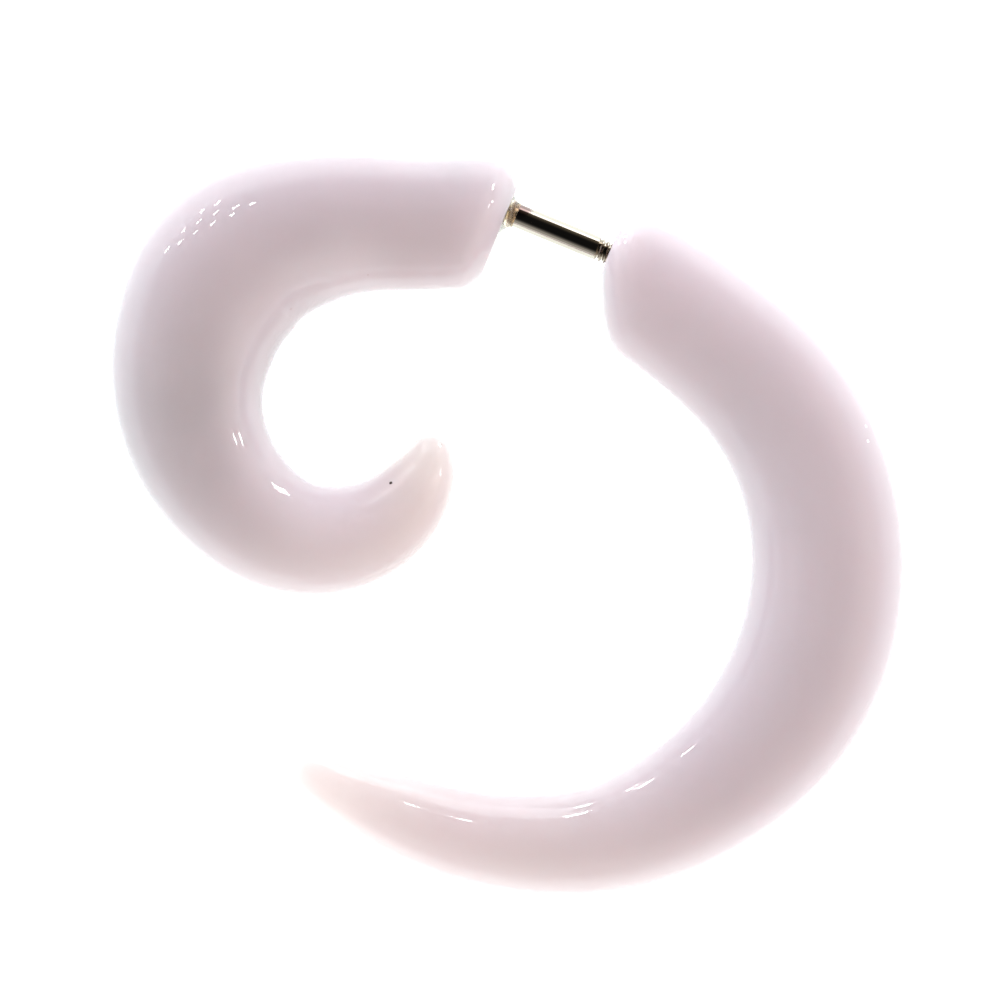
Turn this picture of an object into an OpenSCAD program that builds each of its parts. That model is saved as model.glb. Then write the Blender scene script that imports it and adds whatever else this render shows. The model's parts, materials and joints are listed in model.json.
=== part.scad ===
// Fake ear taper: two curled acrylic horns that look like one thick spiral through a
// stretched ear, joined by a thin steel post that fits an ordinary piercing.
// It lies flat on its side. X runs along the post from the spiral to the crescent,
// Z points up, and the origin is at the middle of the base, on the surface it lies on.

/* [Post] */
// Diameter of the steel post, 16 gauge
post_d = 1.2; // [1.0:0.1:1.6]
// Distance between the two cut faces, where the ear lobe sits
gap_w = 5.5; // [5.0:0.1:8.0]
// Length of the post that is glued into the spiral horn
glued_l = 3; // [2.0:0.25:3.5]
// Length of the post that is screwed into the crescent horn
screwed_l = 2.5; // [2.0:0.25:3.0]
// Length of the thread that shows in front of the crescent horn
bare_thread_l = 0.75; // [0.5:0.25:1.5]
// Pitch of the fine thread
pitch = 0.25; // [0.2:0.05:0.35]

/* [Spiral horn] */
// Thickness of the spiral horn at its thickest
spiral_thick = 8.7; // [7.0:0.1:10.0]
// Distance of the thickest section from the centre of the curl
spiral_reach = 8.4; // [7.5:0.1:9.5]
// Distance from the post up to the outer edge of the spiral's cut face
spiral_post_inset = 2.45; // [2.45:0.05:2.8]

/* [Crescent horn] */
// Thickness of the crescent horn at its thickest
crescent_thick = 7.7; // [7.0:0.1:9.0]
// Distance of the thickest section from the centre of the curl
crescent_reach = 12.9; // [12.0:0.1:15.0]
// Distance from the post up to the outer edge of the crescent's cut face
crescent_post_inset = 2.4; // [2.1:0.05:2.6]

/* [Glue] */
// Width of the glue bead on the spiral's cut face
bead_d = 2.7; // [2.2:0.1:2.7]
// Height of the glue bead along the post
bead_h = 0.5; // [0.3:0.05:0.8]

/* [Hidden] */
$fn = 48;

// Radial gap between the post and what it sits in
post_clearance = 0.02;
// Space past each end of the post in its blind hole
end_space = 0.2;
// Chamfer on the ends of the post
post_chamfer = 0.1;
// Depth of a thread groove as a share of its pitch
thread_share = 0.6;
// Gap between the glue bead and the cut face
bead_gap = 0.01;

// Points round each section of a horn, and sections from one table row to the next
sides = 36;
sections_per_row = 4;
rim_sections = 7;
// How much closer the rim's sections stand near the face, 1 being evenly
rim_crowding = 1.5;
tip_sections = 4;
// How far round the ball at the tip the last section is, in degrees
tip_ball_end = 78;

// Columns of the tables of sections. A row is one section of a horn: its turn about
// the curl's centre in degrees, the reach of the horn's spine from that centre, and
// the horn's thickness. Reach and thickness are shares of the two driving sizes.
TURN = 0;
REACH = 1;
THICK = 2;

spiral_rows = [
    // turn, reach, thick
    [69, 1.33, 0.78],
    [92, 1.065, 0.765],
    [122, 0.985, 0.855],
    [152, 1.005, 1.00],
    [182, 0.96, 0.95],
    [212, 0.935, 0.84],
    [242, 0.92, 0.75],
    [272, 0.915, 0.67],
    [302, 0.83, 0.57],
    [332, 0.69, 0.40],
    [350, 0.605, 0.215]
];

crescent_rows = [
    // turn, reach, thick
    [106, 1.14, 0.865],
    [82, 1.035, 0.905],
    [52, 1.01, 0.96],
    [22, 1.00, 1.00],
    [-8, 1.01, 0.99],
    [-38, 1.03, 0.85],
    [-60, 1.075, 0.72],
    [-82, 1.11, 0.635],
    [-104, 1.185, 0.51],
    [-120, 1.30, 0.29]
];

// Rounded rim of a cut face, a row for its outer and one for its inner edge: how deep
// the rounding goes, how much it takes off at the face, and how fast that fades with
// depth. The top and the bottom of the face are rounded like the outer edge.
OUTER = 0;
INNER = 1;
RIM_DEPTH = 0;
RIM_OFF = 1;
RIM_FADE = 2;
spiral_rim = [
    // depth, off, fade
    [1.4, 1.1, 2.3],
    [0.8, 0.8, 1.9]
];
crescent_rim = [
    // depth, off, fade
    [1.2, 0.65, 3.0],
    [3.0, 3.0, 2.6]
];

// Rows over which the sections swing from the cut face's plane to square on the spine
swing_rows = 1.5;

// Smooth curve through the table's rows: the row at any place between the first, 0,
// and the last
function row_at(rows, at) =
    let (
        last = len(rows) - 1,
        i = max(0, min(floor(at), last - 1)),
        t = at - i,
        a = i > 0 ? rows[i - 1] : 2 * rows[0] - rows[1],
        b = rows[i],
        c = rows[i + 1],
        d = i + 2 <= last ? rows[i + 2] : 2 * rows[last] - rows[last - 1]
    )
    0.5 * (2 * b + t * (c - a) + t * t * (2 * a - 5 * b + 4 * c - d) + t * t * t * (3 * b - a - 3 * c + d));

// Point of the spine, measured from the middle of the cut face
function round_curl(row, reach) = row[REACH] * reach * [cos(row[TURN]), sin(row[TURN])];
function spine_at(rows, reach, at) = round_curl(row_at(rows, at), reach) - round_curl(rows[0], reach);

// Direction of the spine there, from the cut face towards the tip
tiny_step = 0.01;
function unit(v) = v / norm(v);
function heading_at(rows, reach, at) =
    unit(spine_at(rows, reach, at + tiny_step) - spine_at(rows, reach, at - tiny_step));

// How much an edge of the cut face has lost to its rounding at a depth below the face
function rounded_off(edge, depth) =
    edge[RIM_OFF] * pow(max(0, 1 - depth / edge[RIM_DEPTH]), edge[RIM_FADE]);

// One section of a horn. into is 1 where the horn leaves its cut face towards +X and
// -1 towards -X. depth is how far the section lies below the cut face, as far as its
// rounded rim goes. At the tip, forward carries the section on past the last row, and
// shrink makes it smaller.
function section(rows, reach, thick, into, rim, at, depth, forward = 0, shrink = 1) =
    let (
        heading = heading_at(rows, reach, at),
        swing = min(1, at / swing_rows),
        facing = unit((1 - swing) * [into, 0] + swing * heading),
        outward = into * [-facing[1], facing[0]],
        half = thick * row_at(rows, at)[THICK] / 2,
        stretch = 1 / (facing * heading),
        off_outer = rounded_off(rim[OUTER], depth),
        off_inner = rounded_off(rim[INNER], depth),
        centre = spine_at(rows, reach, at)
            + outward * (off_inner - off_outer) / 2
            + facing * forward,
        half_in_plane = (half * stretch - (off_inner + off_outer) / 2) * shrink,
        half_up = (half - off_outer) * shrink
    )
    [for (j = [0:sides - 1])
        let (a = 360 * j / sides)
        [centre[0] + outward[0] * half_in_plane * cos(a),
         centre[1] + outward[1] * half_in_plane * cos(a),
         into * half_up * sin(a)]];

// Slope of a horn's side where its tip begins, in degrees
function tip_taper(rows, reach, thick) =
    let (
        last = len(rows) - 1,
        narrower = row_at(rows, last - tiny_step)[THICK] - rows[last][THICK],
        run = norm(spine_at(rows, reach, last) - spine_at(rows, reach, last - tiny_step))
    )
    atan(narrower * thick / 2 / run);

// All sections of a horn: the rounded rim, the body, and at the tip a ball that starts
// where its own slope is the horn's taper
function horn_sections(rows, reach, thick, into, rim) =
    let (
        last = len(rows) - 1,
        row_length = norm(spine_at(rows, reach, 1)),
        rim_depth = max(rim[OUTER][RIM_DEPTH], rim[INNER][RIM_DEPTH]),
        start = rim_depth / row_length,
        steps = last * sections_per_row,
        taper = tip_taper(rows, reach, thick),
        ball_r = thick * rows[last][THICK] / 2 / cos(taper)
    )
    concat(
        [for (i = [0:rim_sections - 1])
            let (depth = rim_depth * pow(i / rim_sections, rim_crowding))
            section(rows, reach, thick, into, rim, depth / row_length, depth)],
        [for (i = [0:steps])
            section(rows, reach, thick, into, rim, start + (last - start) * i / steps, rim_depth)],
        [for (i = [1:tip_sections])
            let (round_ball = taper + (tip_ball_end - taper) * i / tip_sections)
            section(rows, reach, thick, into, rim, last, rim_depth,
                ball_r * (sin(round_ball) - sin(taper)), cos(round_ball) / cos(taper))]
    );

// The points of a horn where it stands, with the middle of its cut face at base
function horn_points(rings, base) = [for (ring = rings) for (p = ring) p + [base[0], base[1], 0]];

// The faces that close a stack of rings into a solid
function horn_faces(ring_count) = concat(
    [[for (j = [0:sides - 1]) j]],
    [for (k = [0:ring_count - 2]) for (j = [0:sides - 1])
        let (a = k * sides + j, b = k * sides + (j + 1) % sides)
        each [[a, a + sides, b + sides], [a, b + sides, b]]],
    [[for (j = [sides - 1:-1:0]) (ring_count - 1) * sides + j]]
);

// Half the height of a cut face, along Y
function face_half(rows, reach, thick, into) =
    thick * rows[0][THICK] / 2 / (heading_at(rows, reach, 0) * [into, 0]);

spiral_base = [-gap_w / 2,
    spiral_post_inset - face_half(spiral_rows, spiral_reach, spiral_thick, -1)];
crescent_base = [gap_w / 2,
    crescent_post_inset - face_half(crescent_rows, crescent_reach, crescent_thick, 1)];

spiral_rings = horn_sections(spiral_rows, spiral_reach, spiral_thick, -1, spiral_rim);
crescent_rings = horn_sections(crescent_rows, crescent_reach, crescent_thick, 1, crescent_rim);
spiral_points = horn_points(spiral_rings, spiral_base);
crescent_points = horn_points(crescent_rings, crescent_base);

// Where the middle of the post stands, from the box round both horns
all_points = concat(spiral_points, crescent_points);
low = [for (i = [0:2]) min([for (p = all_points) p[i]])];
high = [for (i = [0:2]) max([for (p = all_points) p[i]])];
post_at = [-(low[0] + high[0]) / 2, -(low[1] + high[1]) / 2, -low[2]];
echo(post_at = post_at, size = high - low);

post_r = post_d / 2;
hole_r = post_r + post_clearance;
spiral_face_x = -gap_w / 2;
crescent_face_x = gap_w / 2;

// A round blind hole along X, open at its low end
module hole_from(x, length) {
    translate([x, 0, 0]) rotate([0, 90, 0]) cylinder(r = hole_r, h = length);
}

module spiral_horn() {
    depth = glued_l + end_space;
    color([0.87, 0.78, 0.79]) translate(post_at) difference() {
        polyhedron(points = spiral_points, faces = horn_faces(len(spiral_rings)));
        hole_from(spiral_face_x - depth, depth + 1);
    }
}

module crescent_horn() {
    depth = screwed_l + end_space;
    color([0.87, 0.78, 0.79]) translate(post_at) difference() {
        polyhedron(points = crescent_points, faces = horn_faces(len(crescent_rings)));
        hole_from(crescent_face_x - 1, depth + 1);
    }
}

// The post, turned about its own axis: a plain shank, then the thread's grooves
module pin() {
    start = spiral_face_x - glued_l;
    end = crescent_face_x + screwed_l;
    grooves = floor((screwed_l + bare_thread_l - post_chamfer) / pitch);
    thread_start = end - post_chamfer - grooves * pitch;
    root_r = post_r - thread_share * pitch;
    thread = [for (i = [0:grooves - 1])
        each [[post_r, thread_start + i * pitch], [root_r, thread_start + (i + 0.5) * pitch]]];
    color([0.55, 0.53, 0.50]) translate(post_at) rotate([0, 90, 0]) rotate_extrude() polygon(concat(
        [[0, start], [post_r - post_chamfer, start], [post_r, start + post_chamfer]],
        thread,
        [[post_r, end - post_chamfer], [post_r - post_chamfer, end], [0, end]]
    ));
}

// The glue, drawn up round the post like a small hollow cone
module glue_bead() {
    steps = 6;
    slope = [for (i = [0:steps])
        let (a = 90 * i / steps)
        [bead_d / 2 - (bead_d / 2 - hole_r - 0.1) * sin(a), bead_h * (1 - cos(a))]];
    color([0.85, 0.68, 0.35, 0.8]) translate(post_at + [spiral_face_x + bead_gap, 0, 0])
        rotate([0, 90, 0]) rotate_extrude() polygon(concat([[hole_r, 0]], slope, [[hole_r, bead_h]]));
}

spiral_horn();
crescent_horn();
pin();
glue_bead();
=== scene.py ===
# %% [markdown]
# A fake ear taper, dressed for its picture
#
# Worn, this jewel looks like one thick spiral pushed through a stretched ear. It is two curled acrylic
# horns on a thin steel post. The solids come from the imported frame, and this lesson grows a finished
# skin for each of them: polished horns, a turned and threaded post, and a bead of glue.

# %% Load the frame
import json
import math
from collections import namedtuple

import bmesh
import bpy
from mathutils import Matrix, Vector, noise
from mathutils.interpolate import poly_3d_calc

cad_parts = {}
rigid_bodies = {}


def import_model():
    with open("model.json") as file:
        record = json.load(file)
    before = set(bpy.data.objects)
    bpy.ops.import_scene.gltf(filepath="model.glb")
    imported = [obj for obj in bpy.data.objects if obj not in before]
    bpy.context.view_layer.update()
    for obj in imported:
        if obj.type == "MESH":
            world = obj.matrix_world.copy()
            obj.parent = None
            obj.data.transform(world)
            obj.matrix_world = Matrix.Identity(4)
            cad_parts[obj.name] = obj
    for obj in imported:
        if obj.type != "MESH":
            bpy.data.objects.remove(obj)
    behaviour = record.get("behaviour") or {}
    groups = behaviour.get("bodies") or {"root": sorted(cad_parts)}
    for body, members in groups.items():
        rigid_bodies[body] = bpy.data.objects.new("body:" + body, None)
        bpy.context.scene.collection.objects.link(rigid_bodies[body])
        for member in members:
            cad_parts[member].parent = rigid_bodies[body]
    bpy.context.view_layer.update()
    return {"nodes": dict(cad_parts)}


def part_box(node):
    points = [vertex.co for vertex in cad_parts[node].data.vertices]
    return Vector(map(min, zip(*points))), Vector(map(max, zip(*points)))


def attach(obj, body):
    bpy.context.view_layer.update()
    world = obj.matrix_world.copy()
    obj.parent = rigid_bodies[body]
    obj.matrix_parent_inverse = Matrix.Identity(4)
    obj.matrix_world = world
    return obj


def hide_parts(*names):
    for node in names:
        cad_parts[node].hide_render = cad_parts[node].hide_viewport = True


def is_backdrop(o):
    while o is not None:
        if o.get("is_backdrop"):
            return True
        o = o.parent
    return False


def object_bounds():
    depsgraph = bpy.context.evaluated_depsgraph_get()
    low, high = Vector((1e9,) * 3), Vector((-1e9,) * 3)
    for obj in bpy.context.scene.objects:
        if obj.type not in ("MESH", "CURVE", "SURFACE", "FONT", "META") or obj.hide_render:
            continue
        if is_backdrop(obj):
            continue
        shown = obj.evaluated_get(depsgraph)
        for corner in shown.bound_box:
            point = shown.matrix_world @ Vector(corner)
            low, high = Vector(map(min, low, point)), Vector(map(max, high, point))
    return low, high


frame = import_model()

MM = 0.001
print("nodes:", sorted(frame["nodes"]))

# %% [markdown]
# Where everything is
#
# The post is the jewel's own ruler. Its solid runs along X, so its box gives the axis that all other
# pieces are set on. The two cut faces stand where the glued and the screwed ends of the post begin.

# %% Measure the post
GLUED_L = 3.0
SCREWED_L = 2.5
POST_R = 0.6

post_low, post_high = (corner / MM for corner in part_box("pin"))
axis_y = (post_low.y + post_high.y) / 2
axis_z = (post_low.z + post_high.z) / 2
SPIRAL_FACE_X = post_low.x + GLUED_L
CRESCENT_FACE_X = post_high.x - SCREWED_L
post_mid = Vector(((SPIRAL_FACE_X + CRESCENT_FACE_X) / 2, axis_y, axis_z))
print("middle of the post, mm:", [round(v, 2) for v in post_mid])

# %% [markdown]
# The camera
#
# The jewel lies flat and is seen from straight above, with the post falling to the right. A long lens
# from far up keeps both horns at one scale. The camera is turned about its own axis, and not the jewel,
# so the frame stays as it was built. The post's middle in the picture ties the two together.

# %% Look straight down
PICTURE_PX = 1000
PX_PER_MM = 20
POST_PX = Vector((558.1, 232.4))
POST_SLOPE = math.radians(22.3)
CAMERA_UP = 380
SENSOR = 36

picture_right = Vector((math.cos(POST_SLOPE), math.sin(POST_SLOPE), 0))
picture_up = Vector((-math.sin(POST_SLOPE), math.cos(POST_SLOPE), 0))


def at_px(x, y):
    """The point at the post's height that shows at a pixel, in mm."""
    right = (x - POST_PX.x) / PX_PER_MM
    up = (POST_PX.y - y) / PX_PER_MM
    return post_mid + right * picture_right + up * picture_up


lens = bpy.data.cameras.new("camera")
lens.sensor_width = SENSOR
lens.lens = SENSOR * CAMERA_UP / (PICTURE_PX / PX_PER_MM)
camera = bpy.data.objects.new("camera", lens)
camera.location = (at_px(PICTURE_PX / 2, PICTURE_PX / 2) + Vector((0, 0, CAMERA_UP))) * MM
camera.rotation_euler = (0, 0, POST_SLOPE)
bpy.context.scene.collection.objects.link(camera)
bpy.context.scene.camera = camera
print("lens, mm:", round(lens.lens))

# %% [markdown]
# How a horn is described
#
# A maker draws a horn as a few sections along a bent centre line. The table of a horn holds them: the
# turn about the centre of the curl, the reach of the centre line from it, and the thickness, the last
# two as shares of the horn's biggest. It is the table that the solid is built from, so the skin fits.

# %% The two tables
Row = namedtuple("Row", "turn reach thick")
Rim = namedtuple("Rim", "depth off fade")
Horn = namedtuple("Horn", "rows reach thick inset into face_x outer_rim inner_rim bore")
BORE_SPARE = 0.2

SPIRAL = Horn(
    rows=[
        Row(69, 1.33, 0.78),
        Row(92, 1.065, 0.765),
        Row(122, 0.985, 0.855),
        Row(152, 1.005, 1.00),
        Row(182, 0.96, 0.95),
        Row(212, 0.935, 0.84),
        Row(242, 0.92, 0.75),
        Row(272, 0.915, 0.67),
        Row(302, 0.83, 0.57),
        Row(332, 0.69, 0.40),
        Row(350, 0.605, 0.215),
    ],
    reach=8.4, thick=8.7, inset=2.45, into=-1, face_x=SPIRAL_FACE_X,
    outer_rim=Rim(1.4, 1.1, 2.3), inner_rim=Rim(0.8, 0.8, 1.9), bore=GLUED_L + BORE_SPARE,
)
CRESCENT = Horn(
    rows=[
        Row(106, 1.14, 0.865),
        Row(82, 1.035, 0.905),
        Row(52, 1.01, 0.96),
        Row(22, 1.00, 1.00),
        Row(-8, 1.01, 0.99),
        Row(-38, 1.03, 0.85),
        Row(-60, 1.075, 0.72),
        Row(-82, 1.11, 0.635),
        Row(-104, 1.185, 0.51),
        Row(-120, 1.30, 0.29),
    ],
    reach=12.9, thick=7.7, inset=2.4, into=1, face_x=CRESCENT_FACE_X,
    outer_rim=Rim(1.2, 0.65, 3.0), inner_rim=Rim(3.0, 3.0, 2.6), bore=SCREWED_L + BORE_SPARE,
)

# %% [markdown]
# A smooth line through the table
#
# Joined with straight lines, a table of ten rows would give a horn with ten kinks. A Catmull-Rom curve
# goes through every row and bends evenly between them. From it come the centre line and its heading.

# %% Read the table at any place
TINY = 0.01


def row_at(rows, at):
    """The row at any place between the first, 0, and the last."""
    i = max(0, min(math.floor(at), len(rows) - 2))
    t = at - i
    b, c = Vector(rows[i]), Vector(rows[i + 1])
    a = Vector(rows[i - 1]) if i > 0 else 2 * b - c
    d = Vector(rows[i + 2]) if i + 2 < len(rows) else 2 * c - b
    return Row(*(0.5 * (2 * b + t * (c - a) + t * t * (2 * a - 5 * b + 4 * c - d)
                        + t ** 3 * (3 * b - a - 3 * c + d))))


def spine_at(horn, at):
    """The centre line, measured from the middle of the cut face."""
    def curl(row):
        turn = math.radians(row.turn)
        return row.reach * horn.reach * Vector((math.cos(turn), math.sin(turn), 0))
    return curl(row_at(horn.rows, at)) - curl(horn.rows[0])


def heading_at(horn, at):
    """The way that the centre line runs there, from the cut face to the tip."""
    return (spine_at(horn, at + TINY) - spine_at(horn, at - TINY)).normalized()


def base_of(horn):
    """The middle of a horn's cut face."""
    slant = heading_at(horn, 0).x * horn.into
    half = horn.thick * horn.rows[0].thick / 2 / slant
    return Vector((horn.face_x, axis_y + horn.inset - half, axis_z))


for horn in (SPIRAL, CRESCENT):
    print("cut face at, mm:", [round(v, 2) for v in base_of(horn)])

# %% [markdown]
# One section as a matrix
#
# Every section is the same unit circle, stretched, turned and carried to its place, so one matrix says
# it all. Near the cut face the sections lie in its plane and swing round until they stand square on the
# centre line. The rim of the face is rounded by hand on the wheel, most of all on its inner edge. The
# tip is a ball that starts where its own slope is the horn's taper, so no ring shows there.

# %% Make section matrices
SWING_ROWS = 1.5


def placed(x_way, y_way, z_way, centre):
    """The matrix whose columns are these three ways and this centre."""
    rows = [[x_way[k], y_way[k], z_way[k], centre[k]] for k in range(3)]
    return Matrix(rows + [[0, 0, 0, 1]])


def rounded_off(rim, depth):
    """How much an edge has lost to its rounding at a depth below the face."""
    return rim.off * max(0, 1 - depth / rim.depth) ** rim.fade


def taper_of(horn):
    """The slope of a horn's side at its tip, in degrees."""
    last = len(horn.rows) - 1
    narrower = row_at(horn.rows, last - TINY).thick - row_at(horn.rows, last).thick
    run = (spine_at(horn, last) - spine_at(horn, last - TINY)).length
    return math.degrees(math.atan(narrower * horn.thick / 2 / run))


def section(horn, at, depth):
    """The matrix of one section."""
    heading = heading_at(horn, at)
    swing = min(1, at / SWING_ROWS)
    facing = ((1 - swing) * Vector((horn.into, 0, 0)) + swing * heading).normalized()
    outward = horn.into * Vector((-facing.y, facing.x, 0))
    half = horn.thick * row_at(horn.rows, at).thick / 2
    off_outer = rounded_off(horn.outer_rim, depth)
    off_inner = rounded_off(horn.inner_rim, depth)
    centre = base_of(horn) + spine_at(horn, at) + outward * (off_inner - off_outer) / 2
    in_plane = half / facing.dot(heading) - (off_inner + off_outer) / 2
    return placed(outward * in_plane, Vector((0, 0, horn.into * (half - off_outer))), facing, centre)


def tip_section(horn, dome):
    """The matrix of one section of the ball at the tip, so many degrees round it."""
    last = len(horn.rows) - 1
    start, here = math.radians(taper_of(horn)), math.radians(dome)
    ball = horn.thick * horn.rows[last].thick / 2 / math.cos(start)
    forward = Matrix.Translation(heading_at(horn, last) * ball * (math.sin(here) - math.sin(start)))
    whole = section(horn, last, max(horn.outer_rim.depth, horn.inner_rim.depth))
    return forward @ whole @ Matrix.Diagonal((math.cos(here) / math.cos(start),) * 2 + (1, 1))


for horn in (SPIRAL, CRESCENT):
    print("taper at the tip, degrees:", round(taper_of(horn), 1))

# %% [markdown]
# The order of the sections
#
# A horn could be a tube along a curve, but then its cut face, its bore and its rounded rim would each
# be a repair. Here one ring of edges does the whole piece. It starts at the bottom of the bore, comes
# out of its mouth and spreads over the cut face. Round the rim the form turns fast, so the sections
# crowd there. Then they follow the table, and the last few close in over the ball at the tip.

# %% List the sections
STEPS_PER_ROW = 16
RIM_STEPS = 14
RIM_CROWDING = 1.5
BORE_R = 0.62
MOUTH_CHAMFER = 0.05
DOME_STEPS = 8


def bore_sections(horn):
    """The matrices from the bottom of the bore to the edge of its mouth, with how far each is in."""
    y_way, z_way = Vector((0, horn.into, 0)), Vector((0, 0, horn.into))
    for inside, radius in ((horn.bore, BORE_R), (MOUTH_CHAMFER, BORE_R), (0, BORE_R + MOUTH_CHAMFER)):
        centre = Vector((horn.face_x + horn.into * inside, axis_y, axis_z))
        yield placed(y_way * radius, z_way * radius, Vector((horn.into, 0, 0)), centre), inside


def horn_sections(horn):
    """The matrices from the edge of the cut face to the tip, each with its place in the table."""
    last = len(horn.rows) - 1
    row_length = spine_at(horn, 1).length
    rim_depth = max(horn.outer_rim.depth, horn.inner_rim.depth)
    start = rim_depth / row_length
    for i in range(RIM_STEPS):
        depth = rim_depth * (i / RIM_STEPS) ** RIM_CROWDING
        yield section(horn, depth / row_length, depth), depth / row_length
    for i in range(last * STEPS_PER_ROW + 1):
        at = start + (last - start) * i / (last * STEPS_PER_ROW)
        yield section(horn, at, rim_depth), at
    taper = taper_of(horn)
    for i in range(1, DOME_STEPS):
        yield tip_section(horn, taper + (90 - taper) * i / DOME_STEPS), last


for horn in (SPIRAL, CRESCENT):
    print("sections:", len(list(bore_sections(horn))) + len(list(horn_sections(horn))))

# %% [markdown]
# From one section to the next
#
# The ring is extruded, and the copy is carried to the next section, again and again. What a finish
# needs to know later is noted on the copy's points: how far along the horn they are, how thick it is
# there, and whether they were sawn.

# %% Extrude a ring
def extruded(bm, ring):
    """Extrude a ring of edges. Returns the new points and the new ring."""
    made = bmesh.ops.extrude_edge_only(bm, edges=ring)["geom"]
    points = [g for g in made if isinstance(g, bmesh.types.BMVert)]
    new = set(points)
    return points, [g for g in made if isinstance(g, bmesh.types.BMEdge) and set(g.verts) <= new]


def grow(bm, ring, change, facts):
    """Extrude a ring, carry the copy to the next section and note facts on its points."""
    points, ring = extruded(bm, ring)
    bmesh.ops.transform(bm, matrix=change, verts=points)
    for name, value in facts.items():
        layer = bm.verts.layers.float[name]
        for point in points:
            point[layer] = value
    return ring


# %% [markdown]
# From the sections to a closed horn
#
# The first circle is filled, which closes the bore. The last ring is closed by a face that is poked
# into a fan, and it is so small that the tip looks round.

# %% Grow both horns
SIDES = 120


def raw_horn(horn):
    """The whole horn in mm, closed from the bottom of its bore to its tip."""
    bm = bmesh.new()
    for name in ("around", "along", "girth", "sawn"):
        bm.verts.layers.float.new(name)
    bores = list(bore_sections(horn))
    old = bores[0][0]
    bmesh.ops.create_circle(bm, segments=SIDES, radius=1, cap_ends=True, matrix=old)
    bm.verts.ensure_lookup_table()
    around = bm.verts.layers.float["around"]
    for k, point in enumerate(bm.verts):
        point[around] = k / SIDES
    ring = list(bm.edges)
    for new, inside in bores[1:]:
        facts = {"sawn": 1, "along": -inside, "girth": horn.thick / 2}
        ring = grow(bm, ring, new @ old.inverted(), facts)
        old = new
    along = 0
    for new, at in horn_sections(horn):
        along += (new.to_translation() - old.to_translation()).length if at > 0 else 0
        facts = {"sawn": 1 if at == 0 else 0, "along": along,
                 "girth": horn.thick * row_at(horn.rows, at).thick / 2}
        ring = grow(bm, ring, new @ old.inverted(), facts)
        old = new
    cap = bmesh.ops.contextual_create(bm, geom=ring)["faces"]
    bmesh.ops.poke(bm, faces=cap)
    bmesh.ops.recalc_face_normals(bm, faces=bm.faces)
    return bm


spiral_bm = raw_horn(SPIRAL)
crescent_bm = raw_horn(CRESCENT)
for bm in (spiral_bm, crescent_bm):
    print("horn volume, mm3:", round(bm.calc_volume(), 1), "faces:", len(bm.faces))

# %% [markdown]
# The last touch of a hand
#
# A horn cast in a mould would be even. These are bent warm and polished by hand, so their reflections
# swim a little. A low wave along the normals, less than half a hair high, gives that. It starts at the
# cut face, where the horn was held in the jig and ground flat, and has its full height 3 mm on.

# %% Let the surface wave
WAVE_MM = 0.03
WAVE_SIZE = 5.5
CALM_L = 3.0


def wave(bm, seed):
    """Raise and lower the points along their normals by smooth noise."""
    along = bm.verts.layers.float["along"]
    bm.normal_update()
    most = 0
    for point in bm.verts:
        share = min(1, max(0, point[along] / CALM_L))
        height = WAVE_MM * share * noise.noise(point.co / WAVE_SIZE + Vector((seed, 0, 0)))
        point.co += point.normal * height
        most = max(most, abs(height))
    return most


for seed, bm in ((3, spiral_bm), (11, crescent_bm)):
    print("highest wave, mm:", round(wave(bm, seed), 3))

# %% [markdown]
# A knock on the outer edge
#
# The crescent has been dropped once: a shallow dent sits on its outer side. It is pressed in along the
# normals, deepest in its middle, and it is so small that only the outline there gives it away.

# %% Press the dent
DENT_PX = (874, 433)
DENT_R = 0.7
DENT_DEPTH = 0.12


def press(bm, spot):
    """Push the points near a spot inwards."""
    bm.normal_update()
    pressed = 0
    for point in bm.verts:
        share = 1 - (point.co - spot).length / DENT_R
        if share > 0:
            point.co -= point.normal * DENT_DEPTH * math.sin(share * math.pi / 2) ** 2
            pressed += 1
    return pressed


print("points in the dent:", press(crescent_bm, at_px(*DENT_PX)))

# %% [markdown]
# A map for what follows the horn
#
# Polishing lines run along and around a horn, whatever way it curls. So each corner of each face notes
# how far it is along the horn, in mm, and how far around, as a share of a turn. The last strip of faces
# before the seam counts on past one turn instead of back to zero.

# %% Lay the UV map
def lay_map(bm):
    """UV: mm along the horn, and turns around it."""
    along, around = (bm.verts.layers.float[name] for name in ("along", "around"))
    uv = bm.loops.layers.uv.new("along_and_around")
    for face in bm.faces:
        furthest = max(loop.vert[around] for loop in face.loops)
        for loop in face.loops:
            turn = loop.vert[around]
            loop[uv].uv = (loop.vert[along], turn + (1 if furthest - turn > 0.5 else 0))


for bm in (spiral_bm, crescent_bm):
    lay_map(bm)

# %% [markdown]
# From a bmesh to a piece of the jewel
#
# All shaping is done in mm and the result is scaled once. A piece then takes the place of its solid,
# which is hidden, and moves with that solid's body. Edges sharper than a set angle stay crisp, the rest
# is shaded smooth.

# %% Make an object of it
CRISP = math.radians(35)


def piece(name, bm, node, body):
    """The finished mesh in metres, standing for a node and moving with its body."""
    bmesh.ops.scale(bm, vec=(MM, MM, MM), verts=bm.verts)
    mesh = bpy.data.meshes.new(name)
    bm.to_mesh(mesh)
    bm.free()
    mesh.shade_smooth()
    mesh.set_sharp_from_angle(angle=CRISP)
    made = bpy.data.objects.new(name, mesh)
    bpy.context.scene.collection.objects.link(made)
    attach(made, body)
    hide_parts(node)
    print(name, "faces:", len(mesh.polygons))
    return made


spiral = piece("polished_spiral_horn", spiral_bm, "spiral_horn", "front_half")
crescent = piece("polished_crescent_horn", crescent_bm, "crescent_horn", "back_half")

# %% [markdown]
# From the picture back to the horns
#
# Specks and lights are known by their pixels in the photo. A ray from the camera through a pixel finds
# the point of the polished skin behind it. The mirror law then tells where in the room something must
# hang for it to be seen there. The normal is blended across each face, or lights would jump.

# %% Look at a pixel
SPECK_PX = (391, 483)
eyes = bpy.context.evaluated_depsgraph_get()


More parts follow.
